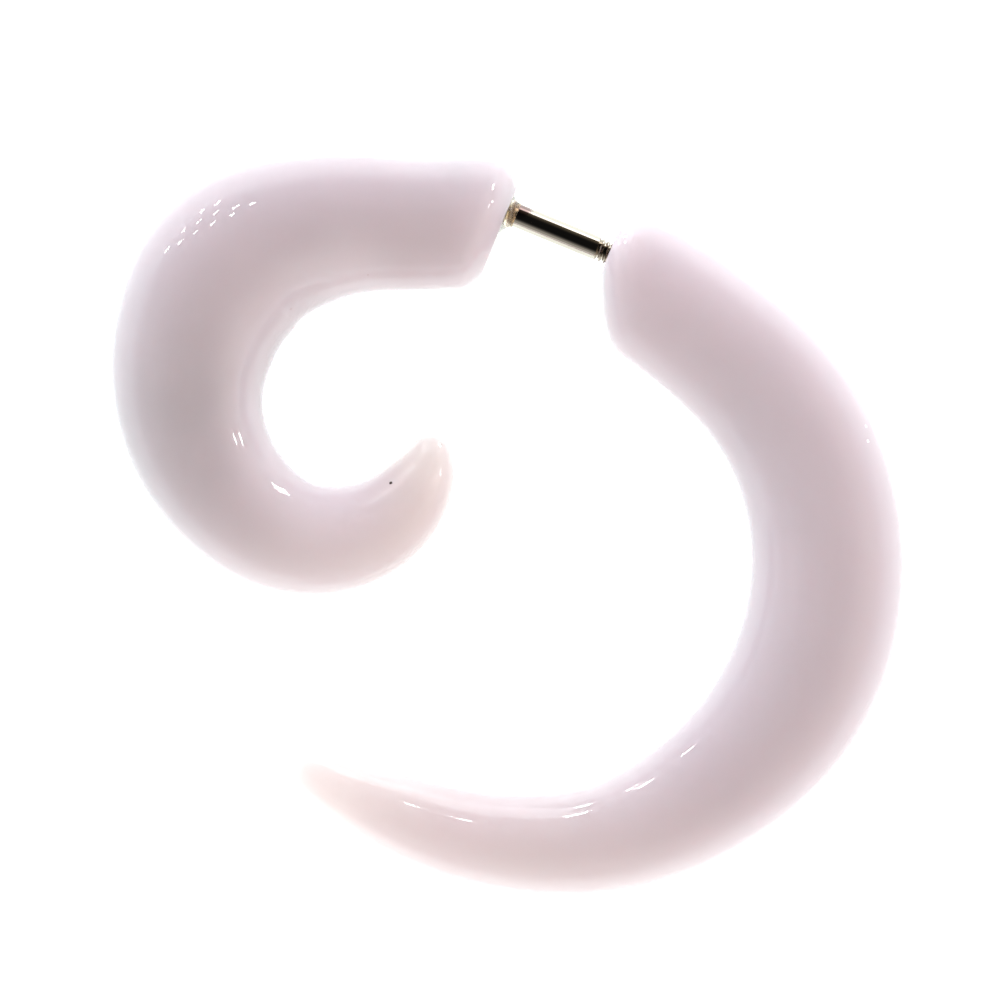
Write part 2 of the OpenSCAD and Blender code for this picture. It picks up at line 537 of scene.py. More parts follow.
def seen_at(horn, x, y):
    """The point of a horn that shows at a pixel, its normal and the way the camera looks at it."""
    aim = (at_px(x, y) * MM - camera.location).normalized()
    _, spot, _, face = horn.ray_cast(camera.location, aim, depsgraph=eyes)
    corners = [horn.data.vertices[k] for k in horn.data.polygons[face].vertices]
    shares = poly_3d_calc([corner.co for corner in corners], spot)
    normal = sum((share * corner.normal for share, corner in zip(shares, corners)), Vector())
    return spot, normal.normalized(), aim


print("the speck sits at, mm:", [round(v / MM, 2) for v in seen_at(spiral, *SPECK_PX)[0]])

# %% [markdown]
# The thread
#
# A row of ring grooves would pass from afar, but a thread climbs. Spin can climb too: with a step along
# the axis at each step of the turn, a comb of grooves comes back one pitch further on, right on its own
# neighbours. Merging the doubles leaves a true helix, and two planes cut its ends square.

# %% Spin the helix
PITCH = 0.25
THREAD_DEPTH = 0.15
CREST_SHARE = 0.2
ROOT_SHARE = 0.15
CHAMFER = 0.1
BARE_THREAD_L = 0.75
AROUND_POST = 64
SAME_POINT = PITCH / 100
ON_PLANE = TINY / 10

thread_start = CRESCENT_FACE_X - BARE_THREAD_L
thread_end = post_high.x - CHAMFER
on_axis = Vector((0, axis_y, axis_z))


def comb_points():
    """The grooves in profile, from one pitch before the thread to one after it."""
    flank = (1 - CREST_SHARE - ROOT_SHARE) / 2
    x = thread_start - PITCH
    while x < thread_end + PITCH:
        yield x, POST_R
        yield x + CREST_SHARE * PITCH, POST_R
        yield x + (CREST_SHARE + flank) * PITCH, POST_R - THREAD_DEPTH
        yield x + (CREST_SHARE + flank + ROOT_SHARE) * PITCH, POST_R - THREAD_DEPTH
        x += PITCH


def cut_square(bm, x, way):
    """Cut everything off beyond a plane across the post. Returns the ring of edges in that plane."""
    everything = bm.verts[:] + bm.edges[:] + bm.faces[:]
    bmesh.ops.bisect_plane(
        bm, geom=everything, plane_co=(x, 0, 0), plane_no=(way, 0, 0), clear_outer=True)
    return [e for e in bm.edges
            if e.is_boundary and all(abs(v.co.x - x) < ON_PLANE for v in e.verts)]


post_bm = bmesh.new()
comb = [post_bm.verts.new((x, axis_y + r, axis_z)) for x, r in comb_points()]
comb_edges = [post_bm.edges.new(pair) for pair in zip(comb, comb[1:])]
bmesh.ops.spin(
    post_bm, geom=comb + comb_edges, cent=on_axis, axis=(1, 0, 0),
    dvec=(PITCH / AROUND_POST, 0, 0), angle=math.tau, steps=AROUND_POST, use_merge=False,
)
bmesh.ops.remove_doubles(post_bm, verts=post_bm.verts, dist=SAME_POINT)
first_ring = cut_square(post_bm, thread_start, -1)
last_ring = cut_square(post_bm, thread_end, 1)
print("edges in the two cuts:", len(first_ring), len(last_ring))

# %% [markdown]
# The rest of the post
#
# On the real post the die backs off, so the first groove rises to nothing within a turn: the points are
# drawn out to the full radius there. The plain shank is then one long extrusion of the ring that is
# left, and both ends get a small chamfer, which is what lets the post find its hole.

# %% Run the thread out and add the shank
def drawn_out(point):
    """The point, moved out to the post's surface where the thread only begins."""
    share = min(1, max(0, (point.co.x - thread_start) / PITCH))
    out = point.co - Vector((point.co.x, axis_y, axis_z))
    return point.co + out.normalized() * (POST_R - out.length) * (1 - share)


def end_ring(bm, ring, length, narrowing=1):
    """Extrude a ring along the post and narrow it towards the axis."""
    points, ring = extruded(bm, ring)
    about_axis = Matrix.Translation(-on_axis)
    bmesh.ops.scale(bm, vec=(1, narrowing, narrowing), verts=points, space=about_axis)
    bmesh.ops.translate(bm, vec=(length, 0, 0), verts=points)
    return ring


for point in post_bm.verts:
    point.co = drawn_out(point)
narrowed = (POST_R - CHAMFER) / POST_R
shank = end_ring(post_bm, first_ring, post_low.x + CHAMFER - thread_start)
glued_end = end_ring(post_bm, shank, -CHAMFER, narrowed)
screwed_end = end_ring(post_bm, last_ring, CHAMFER, narrowed)
for ring in (glued_end, screwed_end):
    bmesh.ops.contextual_create(post_bm, geom=ring)
bmesh.ops.recalc_face_normals(post_bm, faces=post_bm.faces)
print("post volume, mm3:", round(post_bm.calc_volume(), 2),
      "open edges:", sum(e.is_boundary for e in post_bm.edges))
post = piece("threaded_post", post_bm, "pin", "post")

# %% [markdown]
# The bead of glue
#
# Glue creeps up a post and along a face, so its outline is hollow, like the water's edge in a glass.
# One such outline is spun round the post. No drop sits evenly, though: gravity drew this one down
# before it set, so the ring is pushed over to one side and its rim is uneven.

# %% Spin the bead
BEAD_R = 1.35
BEAD_H = 0.5
BEAD_GAP = 0.01
FILM = 0.03
BEAD_STEPS = 8
AROUND_BEAD = 48
BEAD_SAG = 0.4
BEAD_UNEVEN = 0.15
BEAD_LUMPS = 1.7

bead_x = SPIRAL_FACE_X + BEAD_GAP
inner_r = POST_R + BEAD_GAP


def bead_outline():
    """From the post along the face to the rim, then up the hollow slope to the post."""
    yield 0, inner_r
    for k in range(BEAD_STEPS + 1):
        turn = math.radians(90) * k / BEAD_STEPS
        hollow = 1 - math.sin(turn)
        yield BEAD_H * (1 - math.cos(turn)), inner_r + FILM + (BEAD_R - inner_r - FILM) * hollow
    yield BEAD_H, inner_r


bead_bm = bmesh.new()
outline = [bead_bm.verts.new((bead_x + x, axis_y + r, axis_z)) for x, r in bead_outline()]
outline_edges = [bead_bm.edges.new(pair) for pair in zip(outline, outline[1:] + outline[:1])]
bmesh.ops.spin(bead_bm, geom=outline + outline_edges, cent=on_axis, axis=(1, 0, 0),
               angle=math.tau, steps=AROUND_BEAD, use_merge=True)
for point in bead_bm.verts:
    out = point.co - Vector((point.co.x, axis_y, axis_z))
    spread = (out.length - inner_r) / (BEAD_R - inner_r)
    uneven = BEAD_UNEVEN * noise.noise(out.normalized() * BEAD_LUMPS)
    point.co += spread * (out.normalized() * uneven - Vector((0, BEAD_SAG, 0)))
bmesh.ops.recalc_face_normals(bead_bm, faces=bead_bm.faces)
print("bead volume, mm3:", round(bead_bm.calc_volume(), 2))
bead = piece("glue_collar", bead_bm, "glue_bead", "front_half")

# %% [markdown]
# Wiring nodes in code
#
# A material is a small tree of nodes. Written out call by call it is hard to read, so one helper makes
# a node, sets what is fixed on it, and links every input that is given as another node's output. Two
# moves come back all the time, so they get helpers too: an operation on numbers, and a value carried
# from one range to another.

# %% Place a node
def place(tree, kind, inputs=None, **settings):
    """A new node with its settings made and its inputs set or linked."""
    made = tree.nodes.new(kind)
    for name, value in settings.items():
        setattr(made, name, value)
    for name, value in (inputs or {}).items():
        if isinstance(value, bpy.types.NodeSocket):
            tree.links.new(value, made.inputs[name])
        else:
            made.inputs[name].default_value = value
    return made


def new_group(name, inputs, outputs):
    """An empty shader node group with named sockets, with its inner input and output nodes."""
    tree = bpy.data.node_groups.new(name, "ShaderNodeTree")
    for socket, kind in inputs.items():
        tree.interface.new_socket(socket, in_out="INPUT", socket_type=f"NodeSocket{kind}")
    for socket, kind in outputs.items():
        tree.interface.new_socket(socket, in_out="OUTPUT", socket_type=f"NodeSocket{kind}")
    return tree, tree.nodes.new("NodeGroupInput").outputs, tree.nodes.new("NodeGroupOutput").inputs


def maths(tree, operation, *values):
    """The outcome of one operation on numbers."""
    return place(tree, "ShaderNodeMath", dict(enumerate(values)), operation=operation).outputs[0]


def scaled(tree, value, low, high, from_low=0.0, from_high=1.0, kind="LINEAR"):
    """The value carried from one range to another, and kept inside it."""
    made = place(tree, "ShaderNodeMapRange", {
        "Value": value, "From Min": from_low, "From Max": from_high, "To Min": low, "To Max": high},
        clamp=True, interpolation_type=kind)
    return made.outputs["Result"]


# %% [markdown]
# Effects that more than one finish needs
#
# Milky plastic, set glue and steel that has been handled are all a little uneven, and two of them carry
# the fine lines of a buffing wheel. Each effect is made once as a node group and then given other
# values. Noise seldom leaves the span between a low and a high value, so masks are stretched from it.

# %% Make the shared effects
NOISE_LOW = 0.3
NOISE_HIGH = 0.7
RAGS_PER_MM = 9
MARK_GONE = 1.7
MARK_FULL = 1.2


def make_cloudiness():
    """A slow, soft change over a piece. Size is how far apart its light and dark places are, in mm."""
    tree, given, out = new_group(
        "cloudiness", {"Vector": "Vector", "Size": "Float"}, {"Cloud": "Float"})
    scale = maths(tree, "DIVIDE", 1 / MM, given["Size"])
    grain = place(tree, "ShaderNodeTexNoise", {
        "Vector": given["Vector"], "Scale": scale, "Detail": 2.0, "Roughness": 0.45})
    tree.links.new(scaled(tree, grain.outputs["Fac"], 0, 1, NOISE_LOW, NOISE_HIGH), out["Cloud"])
    return tree


def make_polish_lines():
    """Fine lines round a piece. Vector runs along it in X. Along and Around are lines for each unit."""
    tree, given, out = new_group(
        "polish_lines", {"Vector": "Vector", "Along": "Float", "Around": "Float"}, {"Lines": "Float"})
    stretch = place(tree, "ShaderNodeCombineXYZ", {
        "X": given["Along"], "Y": given["Around"], "Z": given["Around"]})
    drawn = place(tree, "ShaderNodeVectorMath", {0: given["Vector"], 1: stretch.outputs[0]},
                  operation="MULTIPLY")
    grain = place(tree, "ShaderNodeTexNoise", {
        "Vector": drawn.outputs[0], "Scale": 1.0, "Detail": 3.0, "Roughness": 0.6})
    tree.links.new(grain.outputs["Fac"], out["Lines"])
    return tree


def sizes_away(tree, given):
    """How far a point is from Place, in metres, divided by Size."""
    apart = place(tree, "ShaderNodeVectorMath", {0: given["Vector"], 1: given["Place"]},
                  operation="DISTANCE")
    return maths(tree, "DIVIDE", apart.outputs["Value"], given["Size"])


def make_small_mark():
    """A ragged spot round one place. Vector and Place are in metres, Size is its radius in mm."""
    tree, given, out = new_group(
        "small_mark", {"Vector": "Vector", "Place": "Vector", "Size": "Float"}, {"Mark": "Float"})
    ragged = place(tree, "ShaderNodeTexNoise", {
        "Vector": given["Vector"], "Scale": RAGS_PER_MM / MM, "Detail": 1.0})
    edge = maths(tree, "MULTIPLY_ADD", sizes_away(tree, given), 1 / MM, ragged.outputs["Fac"])
    tree.links.new(scaled(tree, edge, 0, 1, MARK_GONE, MARK_FULL), out["Mark"])
    return tree


def make_soft_patch():
    """A wide patch that fades out evenly from one place. Size is its radius in mm."""
    tree, given, out = new_group(
        "soft_patch", {"Vector": "Vector", "Place": "Vector", "Size": "Float"}, {"Patch": "Float"})
    fade = scaled(tree, sizes_away(tree, given), 0, 1, MM, 0.0, "SMOOTHSTEP")
    tree.links.new(fade, out["Patch"])
    return tree


CLOUDINESS, POLISH_LINES = make_cloudiness(), make_polish_lines()
SMALL_MARK, SOFT_PATCH = make_small_mark(), make_soft_patch()
for tree in (CLOUDINESS, POLISH_LINES, SMALL_MARK, SOFT_PATCH):
    print("effect:", tree.name, "nodes:", len(tree.nodes))

# %% [markdown]
# Marks, painted shade and painted light on the acrylic
#
# A few dark flecks of dirt sit at given places, and two white flecks on the crescent are painted
# glints. The spiral's outer side is painted greyer, as painted shade, and its inner side paler, as
# painted light, and its tip is worn to a satin.
# Each mark is given by its place in the picture and its size in mm, with its colour or its strength.

# %% List the marks
DARK_SPECK = (0.05, 0.03, 0.03, 1)
FAINT_SPECK = (0.45, 0.36, 0.38, 1)
# White for painted glints: painted highlights, not a substance on the surface.
PAINTED_GLINT_WHITE = (1.0, 1.0, 1.0, 1)
SpeckOrGlint = namedtuple("SpeckOrGlint", "horn x y size colour")
SPECKS_AND_GLINTS = [
    SpeckOrGlint(spiral, *SPECK_PX, 0.085, DARK_SPECK),
    SpeckOrGlint(spiral, 368, 275, 0.05, FAINT_SPECK),
    SpeckOrGlint(spiral, 309, 318, 0.06, FAINT_SPECK),
    SpeckOrGlint(spiral, 291, 309, 0.06, FAINT_SPECK),
    # These two white flecks on the crescent, by the dent, are painted glints.
    SpeckOrGlint(crescent, 866, 426, 0.08, PAINTED_GLINT_WHITE),
    SpeckOrGlint(crescent, 868, 441, 0.08, PAINTED_GLINT_WHITE),
]
Patch = namedtuple("Patch", "x y size strength")
# Painted light along the spiral's inner flank, where the curl shades it. The largest patch also holds a
# painted highlight.
PAINTED_LIGHT_PATCHES = [
    Patch(348, 274, 3.5, 0.55),
    Patch(298, 284, 2.5, 0.40),
    Patch(260, 330, 2.8, 0.40),
    Patch(251, 375, 2.8, 0.40),
    Patch(252, 420, 3.0, 0.60),
    Patch(272, 465, 3.5, 0.70),
    Patch(325, 493, 5.0, 1.00),
]
WORN_TIP = Patch(402, 474, 5.0, 0.65)
# Painted shade: the spiral's outer side is painted greyer round this place, where less light falls.
SHADED_SIDE_PX = (150, 430)
SHADED_SIDE_R = 10.0
print("flecks:", len(SPECKS_AND_GLINTS), "pale patches:", len(PAINTED_LIGHT_PATCHES))

# %% [markdown]
# From effects to a finish
#
# Each finish of the jewel lays one colour over another where a mask says so, and two of them carry a
# fine relief. A Mix node has its sockets for numbers, vectors and colours side by side, so the places
# of those for colours get names here.

# %% Cover and emboss
BELOW, ABOVE, COLOUR_OUT = 6, 7, 2


def mixed(tree, share, below, above):
    """The colour below, covered by the one above as far as share says."""
    made = place(tree, "ShaderNodeMix", {0: share, BELOW: below, ABOVE: above}, data_type="RGBA")
    return made.outputs[COLOUR_OUT]


def embossed(tree, height, depth, strength):
    """The normal of a surface with a relief so many mm deep."""
    made = place(tree, "ShaderNodeBump", {
        "Height": height, "Distance": depth * MM, "Strength": strength})
    return made.outputs["Normal"]


def group_node(tree, group, **inputs):
    """An effect's group as a node. Its inputs are given by name."""
    return place(tree, "ShaderNodeGroup", inputs, node_tree=group).outputs[0]


def new_material(name):
    """A material with its tree and its Principled shader's inputs."""
    made = bpy.data.materials.new(name)
    made.use_nodes = True
    return made, made.node_tree, made.node_tree.nodes["Principled BSDF"].inputs


# %% [markdown]
# Milky pink acrylic
#
# The horns are cast acrylic with a little white and pink in it. Light goes some millimetres in before
# it comes back, so edges glow, and subsurface scattering does that. The thin tips are painted paler and
# warmer than the thick middle, as painted light shining through them, so the girth that each point
# carries mixes the colour. The marks, the painted shade and the painted light lie over it.

# %% Mix the acrylic
# The tips' colour, paler and warmer: painted light shining through the thin acrylic.
THIN_TIP_GLOW_PINK = (0.55, 0.505, 0.50, 1)
BODY_PINK = (0.455, 0.395, 0.43, 1)
# The colour of the painted shade on the spiral's outer side.
SHADED_SIDE_PINK = (0.35, 0.325, 0.345, 1)
# The colour of the painted light on the spiral's inner flank.
PAINTED_LIGHT_PINK = (0.60, 0.55, 0.59, 1)
CLOUD_PINK = (0.51, 0.435, 0.47, 1)
THIN_R = 1.6
THICK_R = 3.4
CLOUD_SIZE = 7.0
CLOUD_SHARE = 0.35
POLISHED_ROUGH = (0.03, 0.06)
SATIN_ROUGH = 0.3
LINES_PER_MM = 9.0
LINES_PER_TURN = 3.0
LINE_DEPTH = 0.0002
LINE_STRENGTH = 0.5
SKIN_DEPTH = 7.0
SKIN_REACH = (1.0, 0.85, 0.85)
ACRYLIC_IOR = 1.49


def soft_patch(tree, here, patch):
    """The mask of a patch on the spiral, which is given by its middle in the picture."""
    middle = seen_at(spiral, patch.x, patch.y)[0]
    share = group_node(tree, SOFT_PATCH, Vector=here, Place=middle, Size=patch.size)
    return scaled(tree, share, 0, patch.strength)


def make_acrylic():
    """Milky pink plastic, glossy where it is polished and satin where it is sawn or worn."""
    made, tree, shader = new_material("milky_acrylic")
    here = place(tree, "ShaderNodeTexCoord").outputs["Object"]
    follow = place(tree, "ShaderNodeUVMap", uv_map="along_and_around").outputs["UV"]
    girth = place(tree, "ShaderNodeAttribute", attribute_name="girth").outputs["Fac"]
    sawn = place(tree, "ShaderNodeAttribute", attribute_name="sawn").outputs["Fac"]
    cloud = group_node(tree, CLOUDINESS, Vector=here, Size=CLOUD_SIZE)
    lines = group_node(tree, POLISH_LINES, Vector=follow, Along=LINES_PER_MM, Around=LINES_PER_TURN)
    # Thin parts take the paler tip colour: painted light shining through them.
    colour = mixed(tree, scaled(tree, girth, 0, 1, THIN_R, THICK_R), THIN_TIP_GLOW_PINK, BODY_PINK)
    # Painted shade: the spiral's outer side is made greyer.
    shaded_side_middle = at_px(*SHADED_SIDE_PX) * MM
    painted_shade = group_node(tree, SOFT_PATCH, Vector=here, Place=shaded_side_middle, Size=SHADED_SIDE_R)
    colour = mixed(tree, painted_shade, colour, SHADED_SIDE_PINK)
    # Painted light: the spiral's inner flank is made paler in patches.
    for patch in PAINTED_LIGHT_PATCHES:
        colour = mixed(tree, soft_patch(tree, here, patch), colour, PAINTED_LIGHT_PINK)
    colour = mixed(tree, scaled(tree, cloud, 0, CLOUD_SHARE), colour, CLOUD_PINK)
    # Dark specks of dirt, and the crescent's white painted glints.
    for speck_or_glint in SPECKS_AND_GLINTS:
        spot = seen_at(speck_or_glint.horn, speck_or_glint.x, speck_or_glint.y)[0]
        mark = group_node(tree, SMALL_MARK, Vector=here, Place=spot, Size=speck_or_glint.size)
        colour = mixed(tree, mark, colour, speck_or_glint.colour)
    tree.links.new(colour, shader["Base Color"])
    polished = scaled(tree, lines, *POLISHED_ROUGH, NOISE_LOW, NOISE_HIGH)
    dull = maths(tree, "MAXIMUM", sawn, soft_patch(tree, here, WORN_TIP))
    tree.links.new(maths(tree, "MULTIPLY_ADD", dull, SATIN_ROUGH, polished), shader["Roughness"])
    tree.links.new(embossed(tree, lines, LINE_DEPTH, LINE_STRENGTH), shader["Normal"])
    shader["IOR"].default_value = ACRYLIC_IOR
    shader["Subsurface Weight"].default_value = 1.0
    shader["Subsurface Radius"].default_value = SKIN_REACH
    shader["Subsurface Scale"].default_value = SKIN_DEPTH * MM
    return made


acrylic = make_acrylic()
for horn in (spiral, crescent):
    horn.data.materials.append(acrylic)
print("acrylic nodes:", len(acrylic.node_tree.nodes))

# %% [markdown]
# Turned steel
#
# The post is turned from steel with a warm cast. Metal shows almost nothing of itself: it is the room
# that shows in it. Only the rings that the tool left are its own. The effect that drew lines on the
# horns makes them, set close along the object's own X. A brown patch is laid on the steel beside the
# glue.

# %% Turn the steel
STEEL = (0.53, 0.49, 0.43, 1)
WARM_STEEL = (0.45, 0.40, 0.34, 1)
BROWN_PATCH = (0.25, 0.18, 0.17, 1)
STEEL_CLOUD_SIZE = 1.5
WARM_SHARE = 0.4
TURNED_ROUGH = (0.04, 0.09)
RINGS_PER_MM = 14
RING_DRIFT_PER_MM = 0.3
RING_DEPTH = 0.0008
RING_STRENGTH = 0.6
BROWN_PATCH_R = 0.5
BROWN_PATCH_OFF = Vector((0.65, 0.45, 0.4))

brown_patch_middle = Vector((SPIRAL_FACE_X, axis_y, axis_z)) + BROWN_PATCH_OFF


def make_steel():
    """Bright turned steel with fine rings."""
    made, tree, shader = new_material("turned_steel")
    here = place(tree, "ShaderNodeTexCoord").outputs["Object"]
    rings = group_node(
        tree, POLISH_LINES, Vector=here, Along=RINGS_PER_MM / MM, Around=RING_DRIFT_PER_MM / MM)
    cloud = group_node(tree, CLOUDINESS, Vector=here, Size=STEEL_CLOUD_SIZE)
    colour = mixed(tree, scaled(tree, cloud, 0, WARM_SHARE), STEEL, WARM_STEEL)
    # A brown patch on the steel beside the glue.
    brown_patch = group_node(tree, SMALL_MARK, Vector=here, Place=brown_patch_middle * MM, Size=BROWN_PATCH_R)
    tree.links.new(mixed(tree, brown_patch, colour, BROWN_PATCH), shader["Base Color"])
    tree.links.new(scaled(tree, rings, *TURNED_ROUGH, NOISE_LOW, NOISE_HIGH), shader["Roughness"])
    tree.links.new(embossed(tree, rings, RING_DEPTH, RING_STRENGTH), shader["Normal"])
    shader["Metallic"].default_value = 1.0
    return made


steel = make_steel()
post.data.materials.append(steel)
print("steel nodes:", len(steel.node_tree.nodes))

# %% [markdown]
# Set glue
#
# The glue is clear with a golden tint that comes and goes. It is a glass of another colour: light goes
# through it and is bent on its way. It is a little cloudy in colour and gloss, or it would look like
# water on the post.

# %% Pour the glue
AMBER = (1.0, 0.95, 0.84, 1)
DEEP_AMBER = (0.97, 0.83, 0.58, 1)
GLUE_CLOUD_SIZE = 0.8
GLUE_ROUGH = (0.06, 0.2)
GLUE_CLEAR = 0.95
GLUE_IOR = 1.5


def make_glue():
    """Clear amber glue, a little cloudy."""
    made, tree, shader = new_material("amber_glue")
    here = place(tree, "ShaderNodeTexCoord").outputs["Object"]
    cloud = group_node(tree, CLOUDINESS, Vector=here, Size=GLUE_CLOUD_SIZE)
    tree.links.new(mixed(tree, cloud, AMBER, DEEP_AMBER), shader["Base Color"])
    tree.links.new(scaled(tree, cloud, *GLUE_ROUGH), shader["Roughness"])
    shader["Transmission Weight"].default_value = GLUE_CLEAR
    shader["IOR"].default_value = GLUE_IOR
    return made


glue = make_glue()
bead.data.materials.append(glue)
print("glue nodes:", len(glue.node_tree.nodes))

# %% [markdown]
# The ground
#
# The photo was taken on a white sheet that glows from below, bright enough to swallow every shadow. So
# the floor is a pale sheet that also gives off light, and it lights the horns from underneath.

# %% Lay the floor
FLOOR_HALF = 1500
PAPER = (0.6, 0.6, 0.6, 1)
PAPER_ROUGH = 0.8
GLOW = 1.15
GLOW_COLOUR = (0.97, 1.08, 1.08, 1)

ground_z = min(corner.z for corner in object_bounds()) / MM
floor_bm = bmesh.new()
bmesh.ops.create_grid(floor_bm, x_segments=1, y_segments=1, size=FLOOR_HALF * MM)
bmesh.ops.translate(floor_bm, vec=(0, 0, ground_z * MM), verts=floor_bm.verts)
sheet = bpy.data.meshes.new("floor")
floor_bm.to_mesh(sheet)
floor_bm.free()
floor = bpy.data.objects.new("floor", sheet)
bpy.context.scene.collection.objects.link(floor)
floor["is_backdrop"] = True
paper, _, paper_shader = new_material("glowing_paper")
paper_shader["Base Color"].default_value = PAPER
paper_shader["Roughness"].default_value = PAPER_ROUGH
paper_shader["Emission Color"].default_value = GLOW_COLOUR
paper_shader["Emission Strength"].default_value = GLOW
sheet.materials.append(paper)
print("floor at, mm:", round(ground_z, 3))

# %% [markdown]
# The room around it
#
# A polished thing shows its room. This one is a white studio: four walls that are bright low down and
# dimmer above, each with a tint of its own, and a dark ceiling where the camera hangs. What is mirrored
# comes from a calmer version of the room, plain white low down, so the polish shows no corners. A wall
# turns from its low light to its high one, and then to the ceiling, between two elevations in degrees.

# %% Choose the walls
Walls = namedtuple("Walls", "right up left down")
Room = namedtuple("Room", "low high to_high to_ceiling")
LIT = Room(
    low=Walls((3.0, 3.0, 3.4), (1.6, 1.7, 1.85), (2.1, 2.6, 3.0), (2.4, 3.2, 3.2)),
    high=Walls((0.95, 0.80, 0.60), (0.05, 0.05, 0.05), (0.47, 0.40, 0.32), (0.85, 0.68, 0.60)),
    to_high=(2, 32), to_ceiling=(50, 68),
)
WHITE_WALL = (1.4, 1.4, 1.4)
MIRRORED = Room(
    low=Walls(WHITE_WALL, WHITE_WALL, WHITE_WALL, WHITE_WALL),
    high=Walls((0.95, 0.80, 0.60), (0.0, 0.0, 0.0), (0.47, 0.40, 0.32), (0.50, 0.49, 0.47)),
    to_high=(0, 20), to_ceiling=(28, 66),
)
CEILING = (0.01, 0.01, 0.01, 1)
print("walls of each room:", ", ".join(Walls._fields))

# %% [markdown]
# Painting with directions
#
# A world's tree is given the direction that it is seen in, so it can paint each wall where it stands,
# full straight ahead and fading into the next. The direction is turned with the picture first, so its
# right is the picture's right. Light Path knows the rays that left a polish, and picks the room.

# %% Paint the room
QUARTER_FADE = 2.0

world = bpy.data.worlds.new("room")
bpy.context.scene.world = world
world.use_nodes = True
sky = world.node_tree
direction = place(sky, "ShaderNodeTexCoord").outputs["Generated"]
turned = place(sky, "ShaderNodeVectorRotate", {"Vector": direction, "Angle": -POST_SLOPE},
               rotation_type="Z_AXIS")
flat = place(sky, "ShaderNodeVectorMath", {0: turned.outputs[0], 1: (1, 1, 0)}, operation="MULTIPLY")
level = place(sky, "ShaderNodeVectorMath", {0: flat.outputs[0]}, operation="NORMALIZE")
compass = place(sky, "ShaderNodeSeparateXYZ", {0: level.outputs[0]})
steepness = place(sky, "ShaderNodeSeparateXYZ", {0: turned.outputs[0]}).outputs["Z"]


def wall_light(colour, axis, sign):
    """One wall's colour, full straight ahead of it and gone a quarter turn away."""
    ahead = maths(sky, "MAXIMUM", maths(sky, "MULTIPLY", compass.outputs[axis], sign), 0.0)
    share = maths(sky, "POWER", ahead, QUARTER_FADE)
    made = place(sky, "ShaderNodeVectorMath", {0: colour, "Scale": share}, operation="SCALE")
    return made.outputs[0]


def round_the_room(walls):
    """The light of four walls, each fading into the next."""
    total = wall_light(walls.right, "X", 1)
    for colour, axis, sign in ((walls.up, "Y", 1), (walls.left, "X", -1), (walls.down, "Y", -1)):
        more = wall_light(colour, axis, sign)
        total = place(sky, "ShaderNodeVectorMath", {0: total, 1: more}, operation="ADD").outputs[0]
    return total


def risen(span):
    """0 below the span's first elevation, 1 above its second, smooth between them."""
    low, high = (math.sin(math.radians(degrees)) for degrees in span)
    return scaled(sky, steepness, 0, 1, low, high, "SMOOTHSTEP")


def painted(room):
    """The light of a whole room, from the foot of its walls to its ceiling."""
    walls = mixed(sky, risen(room.to_high), round_the_room(room.low), round_the_room(room.high))
    return mixed(sky, risen(room.to_ceiling), walls, CEILING)


in_polish = place(sky, "ShaderNodeLightPath").outputs["Is Glossy Ray"]
both_rooms = mixed(sky, in_polish, painted(LIT), painted(MIRRORED))
sky.links.new(both_rooms, sky.nodes["Background"].inputs["Color"])
bpy.context.scene.view_settings.view_transform = "Standard"
print("room nodes:", len(sky.nodes))

# %% [markdown]
# The lamps
#
# The shading is even and its source is wide, so large soft lamps do the lighting: a main one above the
# upper edge of the picture, a fill opposite, a glow at the upper left, and a strip and a card for the
# crescent alone. Most are hidden from reflections, for the photo shows none of them. One low white card
# is only there for the post's bright upper side.

# %% Set up the lamps
def lamp(name, right, up, height, size, radiance, colour=(1, 1, 1), only=None):
    """An area lamp that looks at the jewel, placed in mm from the picture's middle."""
    middle = at_px(PICTURE_PX / 2, PICTURE_PX / 2)
    at = middle + right * picture_right + up * picture_up + Vector((0, 0, height))
    data = bpy.data.lights.new(name, "AREA")
    data.shape = "RECTANGLE"
    data.size, data.size_y = (side * MM for side in size)
    data.energy = radiance * math.pi * data.size * data.size_y
    data.color = colour
    made = bpy.data.objects.new(name, data)
    made.location = at * MM
    made.rotation_euler = (middle - at).to_track_quat("-Z", "Y").to_euler()
    made.visible_camera = False
    made.light_linking.receiver_collection = only
    bpy.context.scene.collection.objects.link(made)
    return made


def only_for(thing):
    """A collection of one piece, for the lamps that light nothing else."""
    made = bpy.data.collections.new("only_" + thing.name)
    made.objects.link(thing)
    return made


on_spiral, on_crescent, on_post = (only_for(thing) for thing in (spiral, crescent, post))
lamp("strip", right=15, up=300, height=60, size=(150, 220), radiance=2.6,
     colour=(0.95, 1.0, 1.0), only=on_crescent)
key = lamp("key", right=0, up=330, height=260, size=(400, 250), radiance=4.15,
           colour=(0.94, 1.0, 1.02))
glow = lamp("panel_glow", right=-167, up=190, height=55, size=(300, 90), radiance=1.8)
fill = lamp("fill", right=0, up=-260, height=260, size=(500, 420), radiance=1.0,
            colour=(1.0, 0.93, 0.82))
card = lamp("card", right=-330, up=60, height=200, size=(250, 250), radiance=0.9,
            colour=(0.95, 0.95, 1.0), only=on_crescent)
for made in (key, glow, fill, card):
    made.visible_glossy = False
lamp("post_white", right=0, up=400, height=82, size=(500, 145), radiance=2.6, only=on_post)
print("soft lamps:", [o.name for o in bpy.data.objects if o.type == "LIGHT"])

# %% [markdown]
# Lights that are only mirrored
#
# The short bright dashes are the rows of small lamps of a panel, mirrored in the polish, and the longer
# lines are tubes. Each is hung where the mirror law puts it, a quarter of a metre off, and matt
# surfaces don't see it. Where the law points below the floor, nothing can hang, so the outermost
# dashes stay away.

# %% Hang a lamp by the mirror law
ROOM_FAR = 250
SPARKLE = 45
PANEL_PX = (190, 225)


